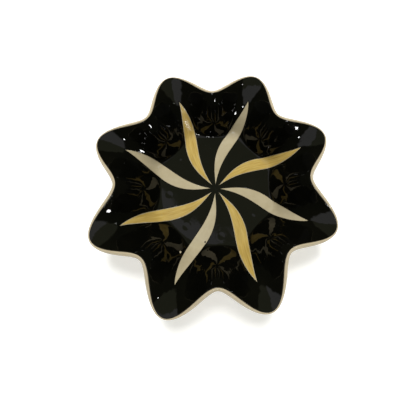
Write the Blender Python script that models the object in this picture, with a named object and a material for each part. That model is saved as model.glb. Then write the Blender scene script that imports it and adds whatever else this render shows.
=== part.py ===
"""A fluted glazed dish with eight leaf-shaped windows, modelled in metres with +Z up.

The dish stands on its foot ring at z = 0 and the Z axis runs up through its middle.
Its wall has eight lobes. Each lobe is a shallow flute that runs out to a low tip, and
between two lobes the wall bulges inwards and stands steeper and a little higher.

The wall is built in layers, each its own solid: a clay body, a cream coat over the
outside and the lip, and a black lining inside. The lining has eight leaf-shaped
windows that swirl out from the middle, one along each flute. A cream leaf fills each
window, and every other leaf carries a golden wash.

A row of points around the dish is named by its station: the distance in mm from the
Z axis to where the row crosses the middle line of a lobe. Depth is measured in mm
from the inside surface into the wall, square to the surface.
"""

import math

import bmesh
import bpy
from mathutils import Vector

MM = 0.001

# The plan and the height of the rim, in mm.
LOBE_COUNT = 8
FIRST_LOBE = math.radians(22.5)
RIM_RADIUS = 96.7
RIM_RADIUS_SWING = 15.4
RIM_RADIUS_SECOND = 1.0
RIM_RISE = 41.3
RIM_RISE_SWING = 5.2

# The inside surface.
FLOOR_RADIUS = 54.0
FLOOR_HEIGHT = 9.6
TOE_SHARE = 0.2
TOE_SHARE_SWING = 0.08
FLARE = 0.82
FLARE_SWING = 0.14

# The layers of the wall, in mm.
GAP = 0.3
LINING_THICKNESS = 1.4
CLAY_THICKNESS = 2.4
COAT_THICKNESS = 0.8
LIP_ROUNDNESS = 0.75
LIP_ANGLES = (math.radians(60.0), math.radians(120.0))

# The foot ring, in mm.
FOOT_INNER = 43.0
FOOT_OUTER = 48.5
FOOT_BEVEL = 0.8
FOOT_STEPS = 64

# The leaves: stations of the two points, half the greatest width, and the swirl.
LEAF_ROOT = 4.0
LEAF_TIP = 90.0
LEAF_HALF_WIDTH = 6.5
LEAF_BELLY = 1.22
LEAF_TURN = math.radians(8.3)
LEAF_TURN_SWING = math.radians(9.5)
LEAF_TURN_WAVE = 1.1
LEAF_END_GAP = 2.4
WASH_MARGIN = 1.1
WASH_END_GAP = 9.0
WASH_DEPTH = 0.1
WASH_THICKNESS = 0.4
CREAM_LEAF_DEPTH = 0.3

# Where the rows of points lie, and how the columns share the space between leaves.
RIM_STATION = RIM_RADIUS + RIM_RADIUS_SWING + RIM_RADIUS_SECOND
LEAF_STATIONS = (LEAF_ROOT, 9.0, 18.0, 30.0, 42.0, 54.0, 60.0, 66.0, 74.0, 82.0, LEAF_TIP)
WALL_STATIONS = (54.0, 60.0, 66.0, 74.0, 82.0, LEAF_TIP, 98.5, 106.5, RIM_STATION)
COAT_START = 51.0
COAT_EDGE_STATION = 111.5
LINING_EDGE_STATION = 110.6
COLUMN_SHARES = (0.055, 0.14, 0.25, 0.375, 0.5, 0.625, 0.75, 0.86, 0.945)

CLAY_TOP = LINING_THICKNESS + GAP
CLAY_BOTTOM = CLAY_TOP + CLAY_THICKNESS
COAT_TOP = CLAY_BOTTOM + GAP
COAT_BOTTOM = COAT_TOP + COAT_THICKNESS

LOBE_STEP = 2 * math.pi / LOBE_COUNT
SMALL_STEP = 1e-4
WELD_DISTANCE = 1e-6
WELD_DIGITS = 4
CREASE = math.radians(40.0)


# ---------------------------------------------------------------- the inside surface

def profile_sum(share, toe, flare):
    """The integral of the wall's slope: a smooth step over the toe, times a straight fall."""
    part = min(share / toe, 1.0)
    over = max(share - toe, 0.0)
    in_toe = toe * (part ** 3 - part ** 4 / 2)
    in_toe -= flare * toe * toe * (0.75 * part ** 4 - 0.4 * part ** 5)
    return in_toe + over - flare * (toe * over + over * over / 2)


def wall_profile(share, wave):
    """How far the wall has risen at a share of the way from the floor's edge to the rim."""
    toe = TOE_SHARE + TOE_SHARE_SWING * wave
    flare = FLARE + FLARE_SWING * wave
    return profile_sum(share, toe, flare) / profile_sum(1.0, toe, flare)


def surface_point(station, angle):
    """A point of the inside surface, in mm."""
    wave = math.cos(LOBE_COUNT * (angle - FIRST_LOBE))
    share = (station - FLOOR_RADIUS) / (RIM_STATION - FLOOR_RADIUS)
    if share <= 0.0:
        radius = station
        height = FLOOR_HEIGHT
    else:
        second = RIM_RADIUS_SECOND * (2 * wave * wave - 1)
        reach = RIM_RADIUS + RIM_RADIUS_SWING * wave + second - FLOOR_RADIUS
        radius = FLOOR_RADIUS + share * reach
        rise = RIM_RISE - RIM_RISE_SWING * wave
        height = FLOOR_HEIGHT + rise * wall_profile(min(share, 1.0), wave)
    return Vector((radius * math.cos(angle), radius * math.sin(angle), height))


def surface_frame(station, angle):
    """The point, the upward normal, and the direction that leads out over the rim."""
    station = max(station, 2 * SMALL_STEP)
    inner = min(station, RIM_STATION - SMALL_STEP) - SMALL_STEP
    outer = inner + 2 * SMALL_STEP
    point = surface_point(station, angle)
    outward = surface_point(outer, angle) - surface_point(inner, angle)
    around = surface_point(station, angle + SMALL_STEP) - surface_point(station, angle - SMALL_STEP)
    normal = outward.cross(around).normalized()
    over_rim = around.cross(normal).normalized()
    return point, normal, over_rim


def wall_point(station, angle, depth, bulge=0.0):
    """A point inside the wall, pushed out past the rim by the bulge, in mm."""
    point, normal, over_rim = surface_frame(station, angle)
    return point - normal * depth + over_rim * bulge


# ---------------------------------------------------------------- leaves and columns

def leaf_share(station):
    return (station - LEAF_ROOT) / (LEAF_TIP - LEAF_ROOT)


def leaf_turn(station):
    """How far the middle of a leaf is turned from the middle line of its lobe."""
    share = min(max(leaf_share(station), 0.0), 1.0)
    turn = LEAF_TURN + LEAF_TURN_SWING * math.cos(LEAF_TURN_WAVE * math.pi * share)
    if station > LEAF_TIP:
        turn *= (RIM_STATION - station) / (RIM_STATION - LEAF_TIP)
    return turn


def leaf_half_angle(station, margin=0.0):
    """Half the angle that a leaf spans at a station, less a margin in mm."""
    share = leaf_share(station)
    if share <= 0.0 or share >= 1.0:
        return 0.0
    half_width = LEAF_HALF_WIDTH * math.sin(math.pi * share ** LEAF_BELLY)
    return max(half_width - margin, 0.0) / station


def column_angles(station):
    """The angles of one row's points: both edges of a leaf, then the space to the next."""
    half = leaf_half_angle(station)
    space = LOBE_STEP - 2 * half
    angles = []
    for lobe in range(LOBE_COUNT):
        middle = FIRST_LOBE + lobe * LOBE_STEP + leaf_turn(station)
        angles += [middle - half, middle + half]
        angles += [middle + half + share * space for share in COLUMN_SHARES]
    return angles


# ---------------------------------------------------------------- mesh building

def cell_triangles(inner, outer, left, right):
    """Two triangles of a cell, facing up, always split along the same diagonal."""
    corners = (inner[left], outer[left], outer[right], inner[right])
    return [(corners[0], corners[1], corners[2]), (corners[0], corners[2], corners[3])]


def welded(points, faces):
    """The faces with coincident points taken as one, less those that have no area."""
    first_at = {}
    kept = []
    for index, point in enumerate(points):
        place_key = tuple(round(value, WELD_DIGITS) for value in point)
        kept.append(first_at.setdefault(place_key, index))
    moved = [tuple(kept[index] for index in face) for face in faces]
    return [face for face in moved if len(set(face)) == len(face)]


def new_mesh(name, points, faces):
    """A mesh in metres from points in mm, without the points that no face uses."""
    shape = bmesh.new()
    corners = [shape.verts.new(point * MM) for point in points]
    for face in faces:
        shape.faces.new([corners[index] for index in face])
    loose = [vert for vert in shape.verts if not vert.link_faces]
    bmesh.ops.delete(shape, geom=loose, context="VERTS")
    mesh = bpy.data.meshes.new(name)
    shape.to_mesh(mesh)
    shape.free()
    return mesh


def slab_mesh(name, top, bottom, faces):
    """A thick sheet: the faces on top, the same faces below, and a wall round each edge."""
    faces = welded(top, faces)
    count = len(top)
    solid = list(faces)
    solid += [tuple(index + count for index in reversed(face)) for face in faces]
    sides = {(face[k], face[(k + 1) % 3]) for face in faces for k in range(3)}
    for start, end in sorted(sides):
        if (end, start) not in sides:
            solid.append((end, start, start + count))
            solid.append((end, start + count, end + count))
    return new_mesh(name, list(top) + list(bottom), solid)


def ring_stack(stations_depths_bulges):
    """One row of wall points, all the way round, for each step of a section."""
    points = []
    rows = []
    for station, depth, bulge in stations_depths_bulges:
        row = []
        for angle in column_angles(station):
            row.append(len(points))
            points.append(wall_point(station, angle, depth, bulge))
        rows.append(row)
    return points, rows


def join_rows(inner, outer, facing_up):
    """The triangles between two rows."""
    faces = []
    count = len(inner)
    for left in range(count):
        for face in cell_triangles(inner, outer, left, (left + 1) % count):
            faces.append(face if facing_up else tuple(reversed(face)))
    return faces


def join_to_middle(points, row, depth, facing_up):
    """A fan of triangles between a row and one point on the axis."""
    middle = len(points)
    points.append(wall_point(0.0, 0.0, depth))
    count = len(row)
    faces = [(middle, row[left], row[(left + 1) % count]) for left in range(count)]
    return faces if facing_up else [tuple(reversed(face)) for face in faces]


def lip_section(middle_depth, half_thickness):
    """The rounded end of a layer at the rim, from its upper to its lower side."""
    bulge = half_thickness * LIP_ROUNDNESS
    section = []
    for angle in LIP_ANGLES:
        depth = middle_depth - half_thickness * math.cos(angle)
        section.append((RIM_STATION, depth, bulge * math.sin(angle)))
    return section


# ---------------------------------------------------------------- the layers

def clay_body_mesh():
    """The bowl of fired clay, from the middle out to a rounded rim."""
    middle_depth = (CLAY_TOP + CLAY_BOTTOM) / 2
    upper = [(station, CLAY_TOP, 0.0) for station in WALL_STATIONS]
    lower = [(station, CLAY_BOTTOM, 0.0) for station in reversed(WALL_STATIONS)]
    lip = lip_section(middle_depth, CLAY_THICKNESS / 2)
    points, rows = ring_stack(upper + lip + lower)
    faces = []
    turning_point = len(upper)
    for index in range(len(rows) - 1):
        if index < turning_point:
            faces += join_rows(rows[index], rows[index + 1], True)
        else:
            faces += join_rows(rows[index + 1], rows[index], False)
    faces += join_to_middle(points, rows[0], CLAY_TOP, True)
    faces += join_to_middle(points, rows[-1], CLAY_BOTTOM, False)
    return new_mesh("clay_body", points, welded(points, faces))


def cream_coat_mesh():
    """The coat outside: from beside the foot, over the lip, to the edge of the lining."""
    middle_depth = (CLAY_TOP + CLAY_BOTTOM) / 2
    inner_half = CLAY_THICKNESS / 2 + GAP
    outer_half = inner_half + COAT_THICKNESS
    wall = (COAT_START,) + WALL_STATIONS
    shell = [(COAT_EDGE_STATION, middle_depth - outer_half, 0.0)]
    shell += [(RIM_STATION, middle_depth - outer_half, 0.0)]
    shell += lip_section(middle_depth, outer_half)
    shell += [(station, COAT_BOTTOM, 0.0) for station in reversed(wall)]
    against_clay = [(station, COAT_TOP, 0.0) for station in wall]
    against_clay += reversed(lip_section(middle_depth, inner_half))
    against_clay += [(RIM_STATION, middle_depth - inner_half, 0.0)]
    against_clay += [(COAT_EDGE_STATION, middle_depth - inner_half, 0.0)]
    section = shell + against_clay
    points, rows = ring_stack(section)
    faces = []
    for index in range(len(rows)):
        following = (index + 1) % len(rows)
        outwards = 1 <= index + 1 <= 3 or index >= len(shell) + len(wall) + 1
        below = index < len(shell)
        if below and outwards:
            faces += join_rows(rows[index], rows[following], True)
        elif below:
            faces += join_rows(rows[following], rows[index], False)
        elif outwards:
            faces += join_rows(rows[following], rows[index], False)
        else:
            faces += join_rows(rows[index], rows[following], True)
    return new_mesh("cream_glaze", points, welded(points, faces))


def black_lining_mesh():
    """The lining inside, open where the eight leaves are."""
    stations = LEAF_STATIONS + (98.5, 106.5, LINING_EDGE_STATION)
    upper, rows = ring_stack([(station, 0.0, 0.0) for station in stations])
    lower, _ = ring_stack([(station, LINING_THICKNESS, 0.0) for station in stations])
    faces = []
    columns = len(rows[0])
    per_lobe = columns // LOBE_COUNT
    for inner, outer in zip(rows, rows[1:]):
        for left in range(columns):
            if left % per_lobe:
                faces += cell_triangles(inner, outer, left, (left + 1) % columns)
    faces += join_to_middle(upper, rows[0], 0.0, True)
    lower.append(wall_point(0.0, 0.0, LINING_THICKNESS))
    return slab_mesh("black_glaze", upper, lower, faces)


def leaf_mesh(name, margin, end_gap, upper_depth, lower_depth):
    """A leaf of even thickness, narrower than its window by the margin on both sides."""
    first = LEAF_ROOT + end_gap
    last = LEAF_TIP - end_gap / 2
    stations = [station for station in LEAF_STATIONS if first < station < last]
    upper = []
    lower = []

    def add(station, angle):
        upper.append(wall_point(station, FIRST_LOBE + angle, upper_depth))
        lower.append(wall_point(station, FIRST_LOBE + angle, lower_depth))

    add(first, leaf_turn(first))
    for station in stations:
        half = leaf_half_angle(station, margin)
        add(station, leaf_turn(station) - half)
        add(station, leaf_turn(station) + half)
    add(last, leaf_turn(last))
    faces = [(0, 1, 2)]
    for row in range(len(stations) - 1):
        inner = (2 * row + 1, 2 * row + 2)
        outer = (2 * row + 3, 2 * row + 4)
        faces += cell_triangles(inner, outer, 0, 1)
    end = len(upper) - 1
    faces.append((end - 2, end, end - 1))
    return slab_mesh(name, upper, lower, faces)


def foot_ring_mesh():
    """The ring that the dish stands on, turned from a section with bevelled corners."""
    top = FLOOR_HEIGHT - CLAY_BOTTOM - GAP
    section = (
        (FOOT_INNER + FOOT_BEVEL, 0.0),
        (FOOT_OUTER - FOOT_BEVEL, 0.0),
        (FOOT_OUTER, FOOT_BEVEL),
        (FOOT_OUTER + FOOT_BEVEL, top),
        (FOOT_INNER - FOOT_BEVEL, top),
        (FOOT_INNER, FOOT_BEVEL),
    )
    shape = bmesh.new()
    verts = [shape.verts.new((radius * MM, 0.0, height * MM)) for radius, height in section]
    edges = [shape.edges.new((verts[k - 1], verts[k])) for k in range(len(verts))]
    bmesh.ops.spin(
        shape,
        geom=verts + edges,
        axis=(0, 0, 1),
        cent=(0, 0, 0),
        angle=2 * math.pi,
        steps=FOOT_STEPS,
        use_merge=True,
    )
    bmesh.ops.remove_doubles(shape, verts=shape.verts, dist=WELD_DISTANCE)
    bmesh.ops.recalc_face_normals(shape, faces=shape.faces)
    mesh = bpy.data.meshes.new("foot_ring")
    shape.to_mesh(mesh)
    shape.free()
    return mesh


# ---------------------------------------------------------------- materials and objects

def material(name, colour, roughness, coat):
    """A Principled material of one colour."""
    made = bpy.data.materials.new(name)
    made.use_nodes = True
    shader = made.node_tree.nodes["Principled BSDF"]
    shader.inputs["Base Color"].default_value = (*colour, 1.0)
    shader.inputs["Roughness"].default_value = roughness
    shader.inputs["Metallic"].default_value = 0.0
    shader.inputs["Coat Weight"].default_value = coat
    made.diffuse_color = (*colour, 1.0)
    return made


def place(name, mesh, look, parent, turn=0.0):
    """Adds an object to the scene, turned about the dish's axis."""
    if not mesh.materials:
        mesh.materials.append(look)
    mesh.shade_smooth()
    mesh.set_sharp_from_angle(angle=CREASE)
    made = bpy.data.objects.new(name, mesh)
    made.rotation_euler = (0.0, 0.0, turn)
    made.parent = parent
    bpy.context.collection.objects.link(made)
    return made


def build():
    for leftover in list(bpy.data.objects):
        bpy.data.objects.remove(leftover)

    clay = material("fired_clay", (0.55, 0.42, 0.29), 0.85, 0.0)
    cream = material("cream_glaze", (0.62, 0.54, 0.40), 0.18, 0.5)
    leaf_cream = material("cream_leaf_glaze", (0.52, 0.46, 0.33), 0.2, 0.5)
    black = material("black_glaze", (0.008, 0.008, 0.006), 0.05, 1.0)
    golden = material("golden_wash", (0.49, 0.35, 0.09), 0.22, 0.5)

    dish = bpy.data.objects.new("dish", None)
    bpy.context.collection.objects.link(dish)

    place("clay_body", clay_body_mesh(), clay, dish)
    place("foot_ring", foot_ring_mesh(), clay, dish)
    place("cream_glaze", cream_coat_mesh(), cream, dish)
    place("black_glaze", black_lining_mesh(), black, dish)

    full_leaf = leaf_mesh("cream_leaf", GAP, LEAF_END_GAP, CREAM_LEAF_DEPTH, LINING_THICKNESS)
    under_wash = WASH_DEPTH + WASH_THICKNESS + GAP
    base_leaf = leaf_mesh("leaf_base", GAP, LEAF_END_GAP, under_wash, LINING_THICKNESS)
    wash_bottom = WASH_DEPTH + WASH_THICKNESS
    wash = leaf_mesh("golden_wash", WASH_MARGIN, WASH_END_GAP, WASH_DEPTH, wash_bottom)
    for lobe in range(LOBE_COUNT):
        turn = lobe * LOBE_STEP
        number = lobe // 2 + 1
        if lobe % 2:
            place(f"cream_leaf_{number}", full_leaf, leaf_cream, dish, turn)
        else:
            place(f"leaf_base_{number}", base_leaf, leaf_cream, dish, turn)
            place(f"golden_wash_{number}", wash, golden, dish, turn)


build()
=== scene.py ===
# %% [markdown]
# # A fluted glazed dish with a swirl of leaves
#
# This is a low ceramic dish, about as wide as a dinner plate. Its wall is pressed into
# eight flutes. Each flute runs out to a low, rounded lobe, and between two lobes the wall
# bulges inwards and stands steeper. A cream glaze covers the outside and the lip, and a
# mirror-bright black glaze lines the inside. The black leaves eight leaf shapes open,
# which swirl out from the middle, and every other one is brushed with a golden wash.
#
# The model is loaded first, as a fixed frame. All pieces below are built round it.

import math

import bpy
import numpy as np
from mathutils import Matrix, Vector, noise


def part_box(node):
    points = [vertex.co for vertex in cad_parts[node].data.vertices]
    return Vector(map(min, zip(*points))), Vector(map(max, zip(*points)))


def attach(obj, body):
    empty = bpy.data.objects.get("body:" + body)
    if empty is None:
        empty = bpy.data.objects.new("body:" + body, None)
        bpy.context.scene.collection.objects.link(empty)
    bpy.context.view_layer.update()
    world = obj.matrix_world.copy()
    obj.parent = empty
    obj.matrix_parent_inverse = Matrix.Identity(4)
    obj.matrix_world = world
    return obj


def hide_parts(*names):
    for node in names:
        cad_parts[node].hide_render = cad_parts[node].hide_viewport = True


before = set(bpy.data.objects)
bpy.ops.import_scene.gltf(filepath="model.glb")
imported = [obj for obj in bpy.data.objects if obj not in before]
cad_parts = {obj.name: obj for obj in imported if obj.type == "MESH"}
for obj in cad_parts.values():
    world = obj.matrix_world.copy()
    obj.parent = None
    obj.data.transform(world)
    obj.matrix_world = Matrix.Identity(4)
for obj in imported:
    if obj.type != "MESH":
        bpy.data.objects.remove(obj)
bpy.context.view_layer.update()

# %% [markdown]
# ## The sizes
#
# The dish is a turned bowl whose rim is pushed in and out eight times, so a cosine wave
# describes the plan of the rim and another its height. Lengths are in millimetres and
# become metres when the wall is rolled up. A place on the dish is named by its station:
# the distance from the axis to where that place's row crosses the middle of a lobe.
# Rows keep their station as they go round, while their true radius swings in and out.

# %% Sizes of the dish
MM = 0.001
LOBES = 8
LOBE_STEP = 2 * math.pi / LOBES
FIRST_LOBE = math.radians(22.5)

LINING_THICK = 1.4
CLAY_TOP = 1.7
CLAY_BOTTOM = 3.9
COAT_TOP = 3.95
COAT_BOTTOM = 4.65

floor_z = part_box("black_glaze")[0].z / MM + LINING_THICK
foot_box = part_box("foot_ring")
DISH_SIZES = {
    "Lobes": float(LOBES),
    "First Lobe": FIRST_LOBE,
    "Rim Radius": 96.7,
    "Rim Swing": 15.4,
    "Rim Second": 1.0,
    "Rim Rise": 41.3,
    "Rise Swing": 5.2,
    "Floor Radius": 54.0,
    "Floor Height": floor_z,
    "Toe Share": 0.2,
    "Toe Swing": 0.08,
    "Flare": 0.82,
    "Flare Swing": 0.14,
}
RIM_STATION = DISH_SIZES["Rim Radius"] + DISH_SIZES["Rim Swing"] + DISH_SIZES["Rim Second"]
print("inside floor at", round(floor_z, 2), "mm; rim station", RIM_STATION)

# %% [markdown]
# ## Small helpers for node trees
#
# The trees below are mostly arithmetic. These helpers add one node each and plug in its
# inputs, so that a formula reads almost as it would on paper: total, difference, product
# and ratio are the four everyday Math nodes. A value may be a number or the output
# socket of another node.

# %% Node helpers
def plug(tree, value, socket):
    """Sets a socket to a number, or links an output to it."""
    if isinstance(value, bpy.types.NodeSocket):
        tree.links.new(value, socket)
    else:
        socket.default_value = value


def maths(tree, operation, *values):
    node = tree.nodes.new("ShaderNodeMath")
    node.operation = operation
    for value, socket in zip(values, node.inputs):
        plug(tree, value, socket)
    return node.outputs[0]


def total(tree, first, second):
    return maths(tree, "ADD", first, second)


def difference(tree, first, second):
    return maths(tree, "SUBTRACT", first, second)


def product(tree, first, second):
    return maths(tree, "MULTIPLY", first, second)


def ratio(tree, first, second):
    return maths(tree, "DIVIDE", first, second)


def vectors(tree, operation, *values):
    node = tree.nodes.new("ShaderNodeVectorMath")
    node.operation = operation
    for value, socket in zip(values, node.inputs):
        plug(tree, value, socket)
    is_number = operation in {"LENGTH", "DISTANCE", "DOT_PRODUCT"}
    return node.outputs["Value" if is_number else "Vector"]


def scaled(tree, vector, amount):
    node = tree.nodes.new("ShaderNodeVectorMath")
    node.operation = "SCALE"
    plug(tree, vector, node.inputs["Vector"])
    plug(tree, amount, node.inputs["Scale"])
    return node.outputs["Vector"]


def noise_value(tree, place, scale, detail=2.0, roughness=0.5):
    node = tree.nodes.new("ShaderNodeTexNoise")
    plug(tree, place, node.inputs["Vector"])
    plug(tree, scale, node.inputs["Scale"])
    plug(tree, detail, node.inputs["Detail"])
    plug(tree, roughness, node.inputs["Roughness"])
    return node.outputs[0]


def new_group(name, kind, inputs, outputs):
    """An empty node group with its sockets, and its input and output nodes.

    A socket's type is given short, such as Float for NodeSocketFloat.
    """
    group = bpy.data.node_groups.new(name, kind)
    for socket_name, short_type, value in inputs:
        socket_type = "NodeSocket" + short_type
        socket = group.interface.new_socket(socket_name, in_out="INPUT", socket_type=socket_type)
        if value is not None:
            socket.default_value = value
    for socket_name, short_type in outputs:
        socket_type = "NodeSocket" + short_type
        group.interface.new_socket(socket_name, in_out="OUTPUT", socket_type=socket_type)
    return group, group.nodes.new("NodeGroupInput"), group.nodes.new("NodeGroupOutput")


# %% [markdown]
# ## The wall's profile as a small group
#
# Cut through a flute, the wall leaves the flat floor in a short toe, rises quickly, and
# then flares out flatter and flatter towards the lip. The slope is a smooth step over
# the toe, times a straight fall towards the rim. Its integral is a short polynomial,
# which a few Math nodes work out exactly, with no curve drawn by hand. How long the toe
# is and how much the wall flares are inputs, because both change round the dish.

# %% Group: wall profile
def profile_sum(tree, share, toe, flare):
    """The integral of the wall's slope from the floor's edge to a share of the wall."""
    part = maths(tree, "MINIMUM", ratio(tree, share, toe), 1.0)
    cube = maths(tree, "POWER", part, 3.0)
    fourth = maths(tree, "POWER", part, 4.0)
    fifth = maths(tree, "POWER", part, 5.0)
    rise = product(tree, toe, difference(tree, cube, product(tree, fourth, 0.5)))
    bend = difference(tree, product(tree, fourth, 0.75), product(tree, fifth, 0.4))
    loss = product(tree, flare, product(tree, product(tree, toe, toe), bend))
    over = maths(tree, "MAXIMUM", difference(tree, share, toe), 0.0)
    half_square = product(tree, product(tree, over, over), 0.5)
    easing = total(tree, product(tree, toe, over), half_square)
    straight = difference(tree, over, product(tree, flare, easing))
    return total(tree, difference(tree, rise, loss), straight)


profile_group, source, result = new_group(
    "Wall Profile",
    "GeometryNodeTree",
    [
        ("Share", "Float", 0.0),
        ("Toe Share", "Float", 0.2),
        ("Flare", "Float", 0.8),
    ],
    [("Rise", "Float")],
)
toe_share, flare = source.outputs["Toe Share"], source.outputs["Flare"]
partial_rise = profile_sum(profile_group, source.outputs["Share"], toe_share, flare)
full_rise = profile_sum(profile_group, 1.0, toe_share, flare)
profile_group.links.new(ratio(profile_group, partial_rise, full_rise), result.inputs["Rise"])
print("profile group has", len(profile_group.nodes), "nodes")

# %% [markdown]
# ## A point of the inside surface
#
# This group turns a station and an angle into a point. On the floor the station is the
# radius. Beyond the floor's edge, the share of the way to the rim sets both the radius,
# which swings with the cosine wave, and the height, which swings the other way: the
# notches stand a little higher than the lobes. A second, faster wave squares the lobes
# up slightly, and the lobes have a longer toe and more flare than the notches.

# %% Group: inside surface
surface_group, source, result = new_group(
    "Inside Surface",
    "GeometryNodeTree",
    [("Station", "Float", 0.0), ("Angle", "Float", 0.0)]
    + [(name, "Float", value) for name, value in DISH_SIZES.items()],
    [("Point", "Vector")],
)
tree = surface_group
size = source.outputs
rim_station = total(tree, total(tree, size["Rim Radius"], size["Rim Swing"]), size["Rim Second"])
wave_angle = product(tree, size["Lobes"], difference(tree, size["Angle"], size["First Lobe"]))
wave = maths(tree, "COSINE", wave_angle)
beyond_floor = maths(tree, "MAXIMUM", difference(tree, size["Station"], size["Floor Radius"]), 0.0)
wall_length = difference(tree, rim_station, size["Floor Radius"])
share = maths(tree, "MINIMUM", ratio(tree, beyond_floor, wall_length), 1.0)
rim_here = total(tree, size["Rim Radius"], product(tree, size["Rim Swing"], wave))
second_wave = maths(tree, "COSINE", product(tree, wave_angle, 2.0))
rim_here = total(tree, rim_here, product(tree, size["Rim Second"], second_wave))
reach = difference(tree, rim_here, size["Floor Radius"])
on_floor = maths(tree, "MINIMUM", size["Station"], size["Floor Radius"])
radius = total(tree, on_floor, product(tree, share, reach))
profile = tree.nodes.new("GeometryNodeGroup")
profile.node_tree = profile_group
plug(tree, share, profile.inputs["Share"])
toe_here = total(tree, size["Toe Share"], product(tree, size["Toe Swing"], wave))
flare_here = total(tree, size["Flare"], product(tree, size["Flare Swing"], wave))
plug(tree, toe_here, profile.inputs["Toe Share"])
plug(tree, flare_here, profile.inputs["Flare"])
rise_here = difference(tree, size["Rim Rise"], product(tree, size["Rise Swing"], wave))
rise = product(tree, rise_here, profile.outputs["Rise"])
point = tree.nodes.new("ShaderNodeCombineXYZ")
plug(tree, product(tree, radius, maths(tree, "COSINE", size["Angle"])), point.inputs["X"])
plug(tree, product(tree, radius, maths(tree, "SINE", size["Angle"])), point.inputs["Y"])
plug(tree, total(tree, size["Floor Height"], rise), point.inputs["Z"])
tree.links.new(point.outputs["Vector"], result.inputs["Point"])
print("surface group has", len(surface_group.nodes), "nodes")

# %% [markdown]
# ## Rolling up the wall
#
# Every layer of the dish is first laid out flat, as if the wall had been cut and
# unrolled: X is the station, Y the angle in radians, and -Z the depth into the wall.
# Flat, a layer is easy to cut and to give an edge. This tree then rolls the flat layer
# up. It finds the surface point under each vertex, takes the normal from four points
# close by, and moves the vertex down that normal by its depth.
#
# A station past the rim pushes the vertex out over the rim, which rounds the lip. A
# gentle noise makes the wall slightly uneven, as a pressed wall is. Another is stretched
# up the wall, like the runs of a thick glaze that crept down it in the kiln. Both die
# away at the rim, and shallow round dents are sunk into the floor between the leaves.

# %% Tree: roll up the wall
PROBE_STATION = 0.05
PROBE_ANGLE = 0.0005
NEAR_AXIS = 0.5
WAVINESS_INPUTS = {
    "Broad Waves": 0.0,
    "Broad Wave Scale": 0.026,
    "Fine Waves": 0.0,
    "Fine Wave Scale": 0.15,
    "Runs": 0.0,
    "Runs Around": 13.0,
    "Floor Calm": 0.06,
    "Rim Calm": 12.0,
}
DENT_INPUTS = {
    "Dent Depth": 0.0,
    "Dent Rim": 0.0,
    "Dent Radius": 3.1,
    "Dent Station": 46.7,
    "Dent Angle": FIRST_LOBE + LOBE_STEP / 2 + math.radians(5.7),
}

roll_tree, source, result = new_group(
    "Roll Up The Wall",
    "GeometryNodeTree",
    [("Geometry", "Geometry", None)]
    + [
        (name, "Float", value)
        for name, value in (DISH_SIZES | WAVINESS_INPUTS | DENT_INPUTS).items()
    ]
    + [("Glaze", "Material", None)],
    [("Geometry", "Geometry")],
)
tree = roll_tree
size = source.outputs


def surface_at(station, angle):
    node = tree.nodes.new("GeometryNodeGroup")
    node.node_tree = surface_group
    plug(tree, station, node.inputs["Station"])
    plug(tree, angle, node.inputs["Angle"])
    for name in DISH_SIZES:
        plug(tree, size[name], node.inputs[name])
    return node.outputs["Point"]


flat = tree.nodes.new("ShaderNodeSeparateXYZ")
tree.links.new(tree.nodes.new("GeometryNodeInputPosition").outputs[0], flat.inputs[0])
station, angle = flat.outputs["X"], flat.outputs["Y"]
rim_station = total(tree, total(tree, size["Rim Radius"], size["Rim Swing"]), size["Rim Second"])
over_rim = maths(tree, "MAXIMUM", difference(tree, station, rim_station), 0.0)
inside = maths(tree, "MINIMUM", station, rim_station)
point = surface_at(inside, angle)

probe = maths(tree, "MAXIMUM", inside, NEAR_AXIS)
probe = maths(tree, "MINIMUM", probe, difference(tree, rim_station, PROBE_STATION))
further = surface_at(total(tree, probe, PROBE_STATION), angle)
nearer = surface_at(difference(tree, probe, PROBE_STATION), angle)
ahead = surface_at(probe, total(tree, angle, PROBE_ANGLE))
behind = surface_at(probe, difference(tree, angle, PROBE_ANGLE))
outward = vectors(tree, "SUBTRACT", further, nearer)
around = vectors(tree, "SUBTRACT", ahead, behind)
normal = vectors(tree, "NORMALIZE", vectors(tree, "CROSS_PRODUCT", outward, around))
off_the_rim = vectors(tree, "NORMALIZE", vectors(tree, "CROSS_PRODUCT", around, normal))
print("roll-up tree has", len(roll_tree.nodes), "nodes so far")

# %% Tree: waves, dents and the finished place
def wave_height(scale, amount):
    swing = difference(tree, noise_value(tree, point, scale, detail=1.0), 0.5)
    return product(tree, swing, amount)


up_the_wall = maths(tree, "MAXIMUM", difference(tree, inside, size["Floor Radius"]), 0.0)
wall_share = maths(tree, "MINIMUM", product(tree, up_the_wall, 0.1), 1.0)
fine_share = maths(tree, "MAXIMUM", wall_share, size["Floor Calm"])
to_rim = ratio(tree, difference(tree, rim_station, inside), size["Rim Calm"])
run_place = tree.nodes.new("ShaderNodeCombineXYZ")
plug(tree, product(tree, maths(tree, "COSINE", angle), size["Runs Around"]), run_place.inputs["X"])
plug(tree, product(tree, maths(tree, "SINE", angle), size["Runs Around"]), run_place.inputs["Y"])
plug(tree, product(tree, station, 0.03), run_place.inputs["Z"])
run_noise = noise_value(tree, run_place.outputs["Vector"], 1.0, detail=1.0)
runs = product(tree, difference(tree, run_noise, 0.5), size["Runs"])
small_waves = total(tree, wave_height(size["Fine Wave Scale"], size["Fine Waves"]), runs)
broad_waves = wave_height(size["Broad Wave Scale"], size["Broad Waves"])
waves = total(tree, broad_waves, product(tree, small_waves, fine_share))
waves = product(tree, waves, maths(tree, "MINIMUM", to_rim, 1.0))

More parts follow.
